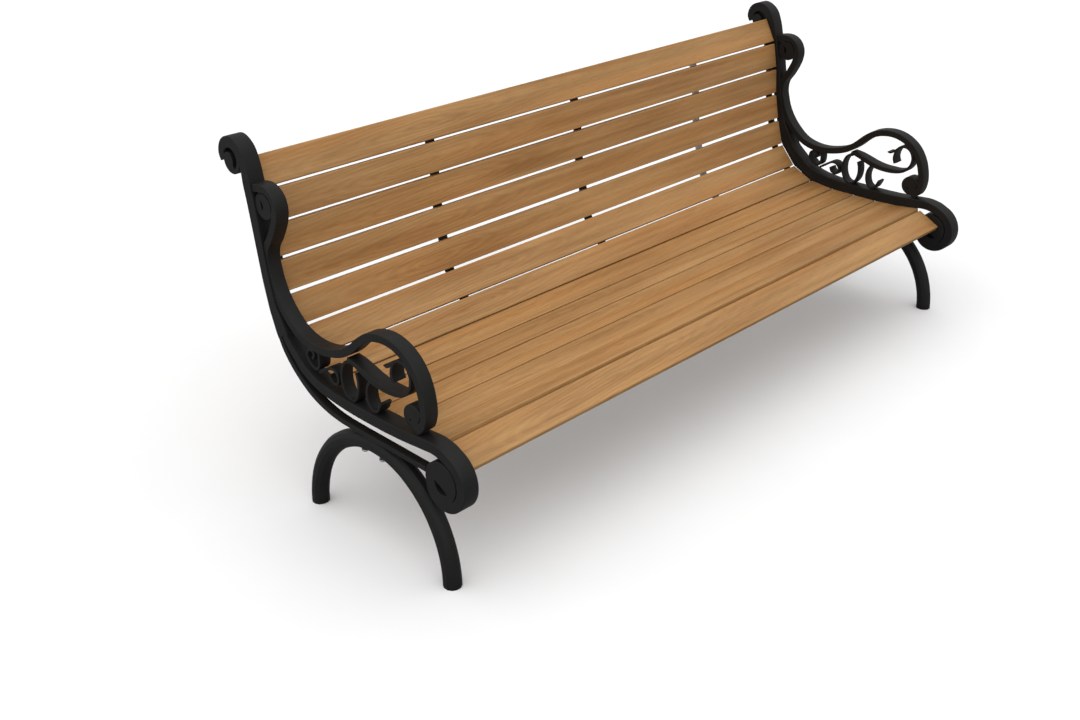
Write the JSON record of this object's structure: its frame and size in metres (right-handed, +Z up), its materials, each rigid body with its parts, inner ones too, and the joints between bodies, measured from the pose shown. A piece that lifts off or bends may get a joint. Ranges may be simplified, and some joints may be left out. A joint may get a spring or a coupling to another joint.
{
  "type": "park bench",
  "caption": "Park bench with a curved slatted seat and back, scrolled cast-iron end frames with armrests, and arched tubular legs.",
  "frame": {"origin": "on the ground, under the middle of the overall box", "axes": "+X along the bench, to the right seen from the front; +Y towards the back; +Z up"},
  "size_m": [2, 0.7884, 0.8471],
  "materials": {
    "frame_iron": "black satin paint on a fine cast surface",
    "strap_steel": "black satin paint",
    "slat_wood": "oiled hardwood with a soft lengthwise grain",
    "screw_steel": "plain zinc-plated steel"
  },
  "bodies": {
    "root": {"left_back_bar": "frame_iron", "left_arm_bar": "frame_iron", "left_seat_bar": "frame_iron", "left_arm_brace": "frame_iron", "left_oval_scroll": "frame_iron", "left_front_scroll": "frame_iron", "left_rear_scroll": "frame_iron", "left_wave_scroll": "frame_iron", "left_seat_ledge": "frame_iron", "left_lower_rail": "frame_iron", "left_leg_arch": "frame_iron", "left_leg_screw_front": "screw_steel", "left_leg_screw_rear": "screw_steel", "right_back_bar": "frame_iron", "right_arm_bar": "frame_iron", "right_seat_bar": "frame_iron", "right_arm_brace": "frame_iron", "right_oval_scroll": "frame_iron", "right_front_scroll": "frame_iron", "right_rear_scroll": "frame_iron", "right_wave_scroll": "frame_iron", "right_seat_ledge": "frame_iron", "right_lower_rail": "frame_iron", "right_leg_arch": "frame_iron", "right_leg_screw_front": "screw_steel", "right_leg_screw_rear": "screw_steel", "left_end_strap": "strap_steel", "left_strap": "strap_steel", "middle_strap": "strap_steel", "right_strap": "strap_steel", "right_end_strap": "strap_steel", "back_slat_1": "slat_wood", "back_slat_1_screw": "screw_steel", "back_slat_2": "slat_wood", "back_slat_2_screw": "screw_steel", "back_slat_3": "slat_wood", "back_slat_3_screw": "screw_steel", "back_slat_4": "slat_wood", "back_slat_4_screw": "screw_steel", "back_slat_5": "slat_wood", "back_slat_5_screw": "screw_steel", "back_slat_6": "slat_wood", "back_slat_6_screw": "screw_steel", "seat_slat_1": "slat_wood", "seat_slat_1_screw": "screw_steel", "seat_slat_2": "slat_wood", "seat_slat_2_screw": "screw_steel", "seat_slat_3": "slat_wood", "seat_slat_3_screw": "screw_steel", "seat_slat_4": "slat_wood", "seat_slat_4_screw": "screw_steel", "seat_slat_5": "slat_wood", "seat_slat_5_screw": "screw_steel", "seat_slat_6": "slat_wood", "seat_slat_6_screw": "screw_steel", "seat_slat_7": "slat_wood", "seat_slat_7_screw": "screw_steel"}
  },
  "joints": []
}
